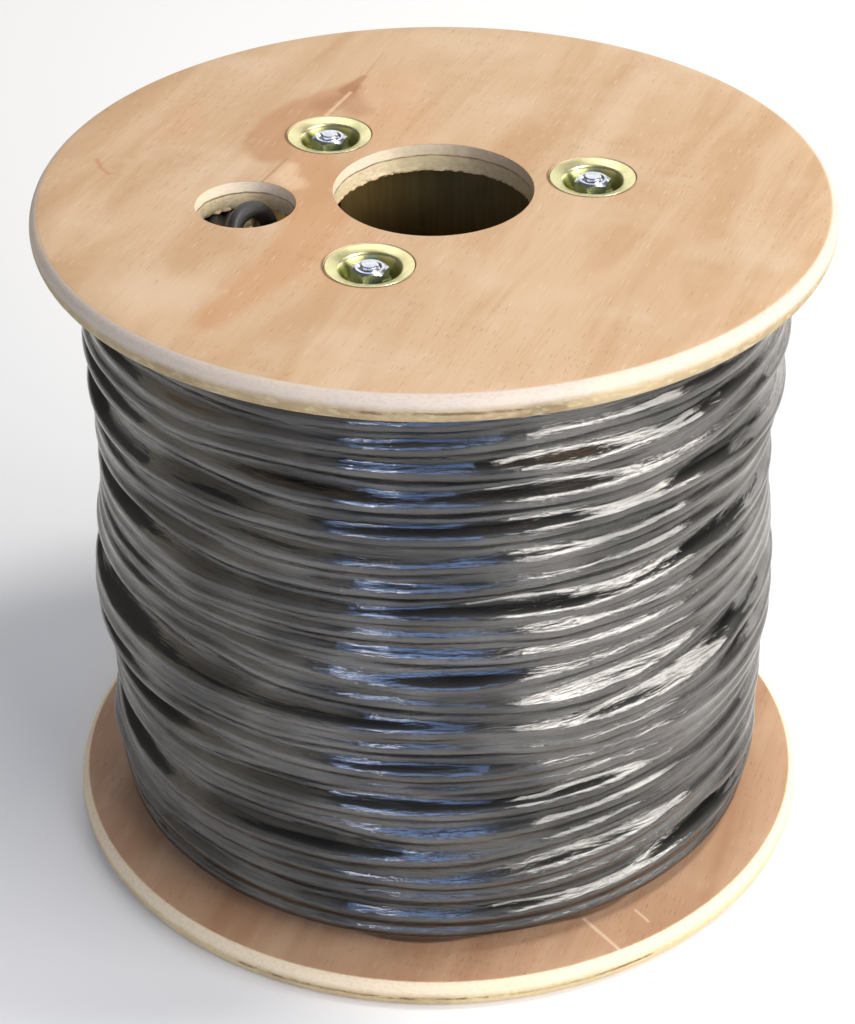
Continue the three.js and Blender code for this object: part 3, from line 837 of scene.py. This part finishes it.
# Turns of one strand of cable: places in cylinder terms, millimetres and steps round the drum
windingShape = {
    "stepsRound": 240,  # points on each turn, and columns of the film
    "cable": 7.0,
    "underPitch": 7.06,
    "layerRise": 6.3,  # from the middle of one layer to the middle of the next
    "crestRadius": 141.4,
    "ends": (12.3, 277.7),
    # crest radius added at a height up the drum
    "swell": [(12, -5.5), (18, -4.2), (28, -2.2), (50, -1.6), (78, -1.3), (92, -0.6), (105, 1.6), (118, 2.2),
              (132, 2.0), (145, 1.0), (165, -0.6), (185, -1.6), (203, -0.9), (218, 1.2), (234, 1.0),
              (250, 0.2), (262, -1.0), (272, -1.5), (278, -2.5)],
    # places pushed out further: bearing, height, half widths in degrees and millimetres, amount
    "bulges": [(-178, 117, 34, 11, 3.0), (-178, 140, 34, 12, 1.2), (-19, 226, 30, 15, 3.4),
               (-19, 143, 26, 12, 0.8), (-14, 165, 40, 62, -1.7)],
}

# Heights of the last turns as they pass seven bearings, from the top of the drum down
outerLay = {
    "bearings": (-159, -144, -124, -99, -74, -54, -39),
    "heights": [
        (263.5, 263.8, 264.5, 266.0, 267.0, 266.5, 265.0),
        (252.5, 251.0, 254.5, 256.0, 258.5, 257.0, 255.0),
        (243.5, 244.0, 246.5, 245.5, 243.5, 244.5, 247.0),
        (233.5, 234.0, 232.0, 231.0, 231.0, 233.5, 238.0),
        (215.0, 216.5, 217.0, 216.5, 217.0, 217.5, 214.5),
        (202.5, 204.0, 202.5, 203.0, 204.0, 205.0, 203.5),
        (194.0, 191.5, 190.5, 192.0, 194.5, 193.5, 192.5),
        (178.5, 177.0, 179.0, 179.5, 176.5, 177.5, 177.5),
        (171.0, 170.0, 171.0, 172.0, 169.5, 167.0, 166.5),
        (163.5, 163.0, 162.5, 161.5, 160.0, 158.5, 159.0),
        (155.5, 156.5, 152.5, 147.5, 150.5, 151.5, 152.0),
        (147.5, 149.5, 143.5, 140.5, 135.5, 142.0, 145.0),
        (127.5, 127.0, 126.0, 127.5, 122.5, 121.5, 128.0),
        (119.5, 120.0, 119.0, 120.0, 115.0, 113.5, 112.5),
        (108.0, 109.0, 108.0, 106.0, 106.0, 105.0, 103.0),
        (92.0, 94.0, 100.0, 98.5, 98.0, 96.0, 95.5),
        (82.5, 82.5, 85.0, 84.0, 84.5, 87.0, 86.5),
        (75.0, 74.5, 77.0, 72.0, 75.5, 76.5, 76.0),
        (57.0, 57.5, 58.5, 60.5, 65.5, 68.5, 68.0),
        (50.0, 50.5, 50.0, 47.5, 50.5, 55.5, 57.0),
        (43.0, 43.0, 42.0, 40.5, 43.0, 47.5, 50.0),
        (31.0, 31.0, 30.5, 29.5, 29.5, 30.5, 32.0),
        (22.0, 22.0, 21.5, 20.5, 21.0, 21.5, 22.0),
    ],
    # bearing counted on, and height
    "start": [(-560, 270.0), (-520, 272.5), (-470, 273.8), (-400, 273.8), (-330, 272.5), (-270, 269.0),
              (-225, 265.0)],
    "finish": [(100, 20.5), (140, 18.0), (170, 16.6)],  # past the last turn's middle bearing
    "level": (38, 52),  # how far each turn runs on level before the first bearing and past the last
    "wander": 0.5,
}


def swellAt(heights, bearings):
    knots = np.array(windingShape["swell"], float)
    swell = np.interp(heights, knots[:, 0], knots[:, 1])
    for bearing, height, wide, tall, amount in windingShape["bulges"]:
        away = (bearings - bearing + 180) % 360 - 180
        swell = swell + amount * np.exp(-((away / wide) ** 2) - ((heights - height) / tall) ** 2)
    return swell


# Smooth seeded waves round and up the drum, about -1 to 1, with no seam
def drumWaves(bearings, heights, roundScale, upScale, seed, count=14):
    chance = random.Random(seed)
    total = np.zeros(np.broadcast(bearings, heights).shape)
    for _ in range(count):
        across = chance.randint(-roundScale, roundScale)
        along = 2 * np.pi * chance.uniform(-1, 1) / upScale
        total = total + np.sin(np.radians(bearings) * across + along * heights + chance.uniform(0, 6.28))
    return total / math.sqrt(count / 2) * 0.6


# Pulls a tight line over a row of supports: it touches the highest and bridges the hollows
def drape(supports, reach, spacing, bend, axis=0, closed=False):
    def shifted(values, offset, fill):
        moved = np.roll(values, -offset, axis=axis)
        if not closed and offset:
            edge = [slice(None)] * values.ndim
            edge[axis] = slice(-offset, None) if offset > 0 else slice(0, -offset)
            moved[tuple(edge)] = fill
        return moved

    bend = np.broadcast_to(np.asarray(bend, float), supports.shape)
    lifted = np.full(supports.shape, -1e9)
    for offset in range(-reach, reach + 1):
        drop = (offset * spacing) ** 2 / 2
        lifted = np.maximum(lifted, shifted(supports, offset, -1e9) - drop / bend)
    pulled = np.full(supports.shape, 1e9)
    for offset in range(-reach, reach + 1):
        drop = (offset * spacing) ** 2 / 2
        pulled = np.minimum(pulled, shifted(lifted, offset, 1e9) + drop / shifted(bend, offset, 1.0))
    return pulled


# The full layer that lies under the last one, wound upwards with even turns
def layUnderTurns():
    steps, pitch = windingShape["stepsRound"], windingShape["underPitch"]
    low = windingShape["ends"][0] + windingShape["cable"] / 2
    turns = int((windingShape["ends"][1] - windingShape["cable"] / 2 - low) / pitch)
    count = np.arange(turns * steps + 1)
    bearings = outerLay["start"][0][0] - (count[::-1] * 360.0 / steps)
    heights = low + count / steps * pitch
    fade = np.clip((heights - low) / 20, 0, 1) * np.clip((low + turns * pitch - heights) / 20, 0, 1)
    heights = heights + 1.6 * fade * drumWaves(bearings, heights, 3, 90, 11)
    middle = windingShape["crestRadius"] - windingShape["cable"] / 2 - windingShape["layerRise"]
    radii = middle + swellAt(heights, bearings) + 0.25 * drumWaves(bearings, heights, 5, 25, 12)
    return bearings, heights, radii


# The last, open layer, laid downwards turn by turn over what is already there
def layOuterTurns(under):
    steps, cable = windingShape["stepsRound"], windingShape["cable"]
    knots = list(outerLay["start"])
    before, past = outerLay["level"]
    first, last = outerLay["bearings"][0] - before, outerLay["bearings"][-1] + past
    for turn, row in enumerate(outerLay["heights"]):
        passing = zip((first, *outerLay["bearings"], last), (row[0], *row, row[-1]))
        knots += [(bearing + 360 * turn, height) for bearing, height in passing]
    last = 360 * (len(outerLay["heights"]) - 1) + outerLay["bearings"][3]
    knots += [(last + past, height) for past, height in outerLay["finish"]]
    knots = np.array(knots, float)
    first = knots[0, 0]
    bearings = np.arange(first, knots[-1, 0], 360.0 / steps)
    heights = smoothThrough(knots[:, 0], knots[:, 1], bearings, steady=True)
    heights = heights + outerLay["wander"] * drumWaves(bearings, heights, 7, 30, 21)
    low = windingShape["ends"][0] + cable / 2
    heights = np.clip(heights, low, windingShape["ends"][1] - cable / 2)

    underBearings, underHeights, underRadii = under
    columns = [[] for _ in range(steps)]
    for bearing, height, radius in zip(underBearings, underHeights, underRadii):
        columns[int(round(bearing * steps / 360)) % steps].append((height, radius))
    radii = np.zeros(len(bearings))
    overlap = 10
    for start in range(0, len(bearings), steps):
        part = range(start, min(start + steps, len(bearings)))
        rests = []
        for k in part:
            laid = np.array(columns[int(round(bearings[k] * steps / 360)) % steps])
            apart = np.abs(laid[:, 0] - heights[k])
            near = apart < cable
            crests = laid[[apart.argmin()], 1]
            if near.any():
                crests = laid[near, 1] + np.sqrt(cable**2 - apart[near] ** 2)
            rests.append(float(crests.max()))
        before = list(radii[max(0, start - overlap):start])
        spacing = 2 * np.pi * windingShape["crestRadius"] / steps
        smooth = drape(np.array(before + rests), 12, spacing, 70.0)[len(before):]
        radii[start:start + len(rests)] = smooth
        for k, radius in zip(part, smooth):
            columns[int(round(bearings[k] * steps / 360)) % steps].append((heights[k], radius))
    ramp = np.clip(np.arange(len(bearings)) / 45.0, 0, 1)
    ramp = ramp * ramp * (3 - 2 * ramp)
    radii = underRadii[-1] + (radii - underRadii[-1]) * ramp
    return bearings, heights, softened(radii, 2)


def softened(values, times):
    for _ in range(times):
        inner = values.copy()
        inner[1:-1] = (values[:-2] + 2 * values[1:-1] + values[2:]) / 4
        values = inner
    return values


# A smooth curve through knots; a steady one never swings past a knot
def smoothThrough(places, values, wanted, steady=False):
    slopes = np.gradient(values, places)
    if steady:
        climbs = np.diff(values) / np.diff(places)
        product, total = climbs[:-1] * climbs[1:], climbs[:-1] + climbs[1:]
        turning = product <= 0
        slopes[1:-1] = np.where(turning, 0.0, 2 * product / np.where(turning, 1.0, total))
    which = np.clip(np.searchsorted(places, wanted) - 1, 0, len(places) - 2)
    span = places[which + 1] - places[which]
    t = (wanted - places[which]) / span
    t2, t3 = t * t, t * t * t
    return (values[which] * (2 * t3 - 3 * t2 + 1) + values[which + 1] * (3 * t2 - 2 * t3)
            + slopes[which] * span * (t3 - 2 * t2 + t) + slopes[which + 1] * span * (t3 - t2))


# Millimetre points from bearings, heights and radii
def drumPoints(bearings, heights, radii):
    turn = np.radians(bearings)
    return np.stack([radii * np.cos(turn), radii * np.sin(turn), heights], axis=-1)


# A round cable along points in millimetres: a curve with a round section, made a mesh
def cableAlong(name, points, radius, sides, twist="Z_UP"):
    clearSelection()
    bpy.ops.curve.primitive_nurbs_path_add(location=(0, 0, 0))
    piece = nameIt(name)
    piece.data.splines.clear()
    spline = piece.data.splines.new("POLY")
    spline.points.add(len(points) - 1)
    flat = np.concatenate([np.asarray(points) * mm, np.ones((len(points), 1))], axis=1)
    spline.points.foreach_set("co", flat.ravel())
    piece.data.bevel_depth = radius * mm
    piece.data.bevel_resolution = (sides - 4) // 2
    piece.data.use_fill_caps = True
    piece.data.twist_mode = twist
    activate(piece)
    bpy.ops.object.convert(target="MESH")
    piece = bpy.context.object
    smoothShade(piece, 60)
    return piece


def buildCore():
    cable, rise = windingShape["cable"], windingShape["layerRise"]
    low, high = windingShape["ends"]
    inner = barrelBox[1].x / mm + 0.3
    firstLayer = inner + cable / 2
    crest = windingShape["crestRadius"] - 2 * rise
    bottomEnd = []
    radius = firstLayer
    while radius < crest - 4:
        for turn in (-60, -20, 20, 60):
            lean = math.radians(turn)
            bottomEnd.append((radius + 3.2 * math.sin(lean), low + 3.5 - 3.5 * math.cos(lean)))
        radius += 6.37
    side = []
    pitch = windingShape["underPitch"]
    turns = int((high - low) / pitch)
    for turn in range(turns):
        for share in (0.14, 0.5, 0.86):
            height = low + (turn + share) * (high - low) / turns
            swell = float(swellAt(np.array(height), np.array(0.0)))
            side.append((crest + swell - (1.6 if share != 0.5 else 0), height))
    topEnd = [(r, high + low - z) for r, z in bottomEnd][::-1]
    outline = [(inner, low + 1.5)] + bottomEnd + side + topEnd + [(inner, high - 1.5)]
    core = spinOutline("cable_core", outline, 96)
    smoothShade(core, 50)
    return core


filmShape = {
    "rows": 380,
    "ends": (12.7, 277.3),
    "gap": 0.16,  # from the cable to the film
    "bridge": 2.9,  # how tightly it is drawn into the hollows: bend radius up the drum
    "bridgeVary": 0.62,
    "hoop": 150.0,
    "creases": 0.11,
}


# Heights of the film over the drum's axis, one column for each step round and one row up
def filmHeights(strands):
    steps, rows = windingShape["stepsRound"], filmShape["rows"]
    low, high = filmShape["ends"]
    rowHeights = np.linspace(low, high, rows)
    rowGap = (high - low) / (rows - 1)
    reach = windingShape["cable"] / 2 + filmShape["gap"]
    bearings = np.arange(steps) * 360.0 / steps
    surface = swellAt(rowHeights[None, :], bearings[:, None])
    surface = surface + windingShape["crestRadius"] - 2 * windingShape["layerRise"]
    for strandBearings, strandHeights, strandRadii in strands:
        column = np.round(strandBearings * steps / 360).astype(int) % steps
        nearest = np.round((strandHeights - low) / rowGap).astype(int)
        for offset in range(-6, 7):
            row = nearest + offset
            inside = (row >= 0) & (row < rows)
            away = rowHeights[np.clip(row, 0, rows - 1)] - strandHeights
            touches = inside & (np.abs(away) < reach)
            top = strandRadii + np.sqrt(np.maximum(reach**2 - away**2, 0))
            np.maximum.at(surface, (column[touches], row[touches]), top[touches])
    slack = drumWaves(bearings[:, None], rowHeights[None, :], 12, 22, 31, 24)
    bend = filmShape["bridge"] * np.exp(filmShape["bridgeVary"] * slack)
    surface = drape(surface, 20, rowGap, bend, axis=1)
    spacing = 2 * np.pi * windingShape["crestRadius"] / steps
    surface = drape(surface, 10, spacing, filmShape["hoop"], axis=0, closed=True)
    creases = drumWaves(bearings[:, None], rowHeights[None, :], 9, 5.5, 32, 30)
    surface = surface + filmShape["creases"] * np.clip(creases + 0.4, 0, 2)
    return bearings, rowHeights, surface


def buildFilm(strands):
    bearings, rowHeights, surface = filmHeights(strands)
    steps, rows = surface.shape
    clearSelection()
    bpy.ops.mesh.primitive_grid_add(x_subdivisions=steps, y_subdivisions=rows - 1, size=1, location=(0, 0, 0))
    film = nameIt("wrap_film")
    count = len(film.data.vertices)
    flat = np.zeros(count * 3)
    film.data.vertices.foreach_get("co", flat)
    flat = flat.reshape(-1, 3)
    column = np.round((flat[:, 0] + 0.5) * steps).astype(int)
    row = np.round((flat[:, 1] + 0.5) * (rows - 1)).astype(int)
    radii = surface[column % steps, row]
    placed = drumPoints(bearings[column % steps], rowHeights[row], radii) * mm
    film.data.vertices.foreach_set("co", placed.ravel())
    bpy.ops.object.mode_set(mode="EDIT")
    bpy.ops.mesh.select_all(action="SELECT")
    bpy.ops.mesh.remove_doubles(threshold=0.000002)
    bpy.ops.object.mode_set(mode="OBJECT")
    bpy.ops.object.shade_smooth()
    return film


finishPiece(buildCore(), cableJacket, "cable_jacket", "cable_winding")
underTurns = layUnderTurns()
outerTurns = layOuterTurns(underTurns)
for name, turns, sides in (("cable_under_turns", underTurns, 10), ("cable_outer_turns", outerTurns, 12)):
    strand = cableAlong(name, drumPoints(*turns), windingShape["cable"] / 2, sides)
    finishPiece(strand, cableJacket, "cable_jacket", "cable_winding")
print("stage 6: cable wound")
finishPiece(buildFilm([underTurns, outerTurns]), stretchFilm, "clear_film", "stretch_film")
print("stage 7: film drawn round")

barrelShape = {"wall": 5.0, "rounding": 0.5, "steps": 144}


def buildBarrel():
    outer, low, high = barrelBox[1].x / mm, barrelBox[0].z / mm, barrelBox[1].z / mm
    inner, edge = outer - barrelShape["wall"], barrelShape["rounding"]
    corners = [(inner, low, edge), (outer, low, edge), (outer, high, edge), (inner, high, edge)]
    barrel = spinOutline("barrel_tube", roundedOutline(corners, 3), barrelShape["steps"])
    smoothShade(barrel, 40)
    return barrel


# Route of the cable's inner end: out from the middle of the barrel's wall, along it, up from the flange
tailShape = {
    "route": [
        (4.9, -16.5, -2.6), (6, -11, 0.4), (5.5, -5.5, 4.4), (3, -1, 6.9), (-0.6, 2.6, 7.6),
        (-4.4, 5.6, 6.4), (-8, 8, 2.6), (-10, 9.4, -3), (-10.7, 10, -10), (-10.4, 10, -20),
        (-8.9, 9.2, -34), (-7.4, 8, -50), (-6.9, 7, -66),
    ],
    "sides": 16,
    "stepsBetween": 7,
}


def buildTail():
    wallMiddle = barrelBox[1].x / mm - barrelShape["wall"] / 2
    start = np.array((-wallMiddle, 0, topUnderside / mm))
    knots = start + np.array(tailShape["route"]) * (-1, 1, 1)
    runs = np.sqrt(np.linalg.norm(np.diff(knots, axis=0), axis=1))
    places = np.concatenate([[0], np.cumsum(runs)])
    wanted = np.linspace(0, places[-1], (len(knots) - 1) * tailShape["stepsBetween"] + 1)
    points = np.stack([smoothThrough(places, knots[:, axis], wanted) for axis in range(3)], axis=-1)
    return cableAlong("cable_start_tail", points, windingShape["cable"] / 2, tailShape["sides"], "MINIMUM")


washerShape = {
    "steps": 72,
    # radius and height from the rim's top, with the rounding of each corner
    "corners": [(4.6, -8.7, 0.15), (10.0, -8.7, 1.3), (13.1, -2.7, 2.2), (17.3, -1.2, 0.25), (17.3, 0.0, 0.4),
                (12.2, -1.5, 2.6), (8.8, -7.5, 1.0), (4.6, -7.5, 0.15)],
    "sunk": 0.1,
}
nutShape = {
    "acrossFlats": 13.0, "face": 11.4, "height": 6.5, "hole": 8.1, "chamferAngle": 30, "countersink": 9.4,
}
boltShape = {
    "shank": 8.0, "endChamfer": 0.3, "proud": 1.2, "headHeight": 5.3, "pitch": 1.25, "threadTurns": 22,
    "threadDepth": 0.62, "threadBuried": 0.3,
}
seatDepth = 7.5  # from the wood's face to the floor of the cup
seatGap = 0.3


def hexagonBlank(name, acrossFlats, low, high):
    clearSelection()
    corner = acrossFlats / 2 / math.cos(math.pi / 6)
    bpy.ops.mesh.primitive_cylinder_add(vertices=6, radius=corner * mm, depth=(high - low) * mm,
                                        location=(0, 0, (low + high) / 2 * mm), rotation=(0, 0, math.pi / 6))
    piece = nameIt(name)
    bpy.ops.object.transform_apply(location=True, rotation=True, scale=True)
    return piece


# What the chamfer leaves of a nut or a bolt's head: its flat's radius, its reach and the fall between
def chamferSizes():
    flat, reach = nutShape["face"] / 2, nutShape["acrossFlats"] * 0.65
    return flat, reach, (reach - flat) * math.tan(math.radians(nutShape["chamferAngle"]))


def buildNut(name):
    height = nutShape["height"]
    nut = hexagonBlank(name, nutShape["acrossFlats"], 0, height)
    flat, reach, fall = chamferSizes()
    cutAway(nut, spinOutline("nutEnvelope", [
        (0.0, 0.0), (flat, 0.0), (reach, fall), (reach, height - fall), (flat, height), (0.0, height),
    ], 72), "INTERSECT")
    hole, sink = nutShape["hole"] / 2, nutShape["countersink"] / 2
    cutAway(nut, spinOutline("nutDrill", [
        (0.0, -1.0), (sink + 1, -1.0), (hole, sink - hole), (hole, height - (sink - hole)),
        (sink + 1, height + 1.0), (0.0, height + 1.0)], 48))
    smoothShade(nut, 25)
    return nut


def buildBolt(name):
    sunk, proud = washerShape["sunk"], boltShape["proud"]
    low = seatDepth + sunk - seatGap
    high = topFace / mm - low + nutShape["height"] + proud
    radius, chamfer = boltShape["shank"] / 2, boltShape["endChamfer"]
    root = radius - boltShape["threadDepth"]
    threadStart = high - proud - boltShape["threadTurns"] * boltShape["pitch"]
    shank = spinOutline(name, [
        (0.0, low - 1), (radius, low - 1), (radius, threadStart - 1), (root, threadStart),
        (root, high - chamfer), (root - chamfer, high), (0.0, high)], 40)
    foot = low - boltShape["headHeight"]
    head = hexagonBlank("boltHead", nutShape["acrossFlats"], foot, low)
    flat, reach, fall = chamferSizes()
    cutAway(head, spinOutline("headEnvelope", [
        (0.0, foot), (flat, foot), (reach, foot + fall), (reach, low + 1), (0.0, low + 1),
    ], 72), "INTERSECT")

    # One tooth of thread, carried up the shank by a screw
    buried, depth = boltShape["threadBuried"], boltShape["threadDepth"]
    thread = startPoint("boltThread", root - buried, threadStart)
    for across, up in ((buried, 0.0), (depth, 0.46), (0.0, 0.16), (-depth, 0.46)):
        extrudePoint(across * mm, up * mm)
    bpy.ops.object.mode_set(mode="OBJECT")
    screw = thread.modifiers.new("screw", "SCREW")
    screw.screw_offset = boltShape["pitch"] * mm
    screw.iterations = boltShape["threadTurns"] - 1
    screw.steps = screw.render_steps = 28
    screw.use_merge_vertices = True
    bpy.ops.object.modifier_apply(modifier=screw.name)

    clearSelection()
    head.select_set(True)
    thread.select_set(True)
    shank.select_set(True)
    bpy.context.view_layer.objects.active = shank
    bpy.ops.object.join()
    shank.data.name = name
    bpy.ops.object.mode_set(mode="EDIT")
    bpy.ops.mesh.select_all(action="SELECT")
    bpy.ops.mesh.normals_make_consistent(inside=False)
    bpy.ops.object.mode_set(mode="OBJECT")
    smoothShade(shank, 25)
    return shank


# Another of a piece that is already made, with a mesh of its own
def another(model, name, move, flip=False):
    activate(model)
    bpy.ops.object.duplicate(linked=False)
    piece = nameIt(name)
    turn = Matrix.Rotation(math.pi, 4, "X") if flip else Matrix()
    piece.data.transform(Matrix.Translation(move) @ turn)
    return piece


def buildWasher(name):
    washer = spinOutline(name, roundedOutline(washerShape["corners"], 5), washerShape["steps"])
    smoothShade(washer, 45)
    # the cup's depth also sets the painted shade inside the cup
    depths = washer.data.attributes.new("cupDepth", "FLOAT", "POINT")  # 0 at the rim, 1 on the cup's floor
    depths.data.foreach_set("value", [-vertex.co.z / mm / seatDepth for vertex in washer.data.vertices])
    return washer


def buildFasteners(yellowZinc, brightZinc):
    washerModel = buildWasher("washerModel")
    nutModel, boltModel = buildNut("nutModel"), buildBolt("boltModel")
    sunk = washerShape["sunk"] * mm
    nutSeat = topFace - sunk - (seatDepth - seatGap) * mm
    for number, place in enumerate(boltPlaces, start=1):
        # model, piece's name, height, turned over, finish, its slot, node
        for model, name, height, flip, finish, slot, node in (
                (washerModel, "cup_washer_top", topFace - sunk, False, yellowZinc, "yellow_zinc",
                 "top_cup_washer"),
                (washerModel, "cup_washer_bottom", sunk, True, yellowZinc, "yellow_zinc",
                 "bottom_cup_washer"),
                (nutModel, "hex_nut", nutSeat, False, brightZinc, "bright_zinc", "nut"),
                (boltModel, "long_bolt", 0, False, brightZinc, "bright_zinc", "tie_bolt")):
            piece = another(model, f"{name}_{number}", Vector((place.x, place.y, height)), flip)
            finishPiece(piece, finish, slot, f"{node}_{number}")
    for model in (washerModel, nutModel, boltModel):
        bpy.data.objects.remove(model)


finishPiece(buildBarrel(), barrelBoard, "core_board", "barrel")
finishPiece(buildTail(), cableJacket, "cable_jacket", "cable_inner_end")
buildFasteners(yellowZinc, brightZinc)
print("stage 8: barrel, cable start and fasteners in place")
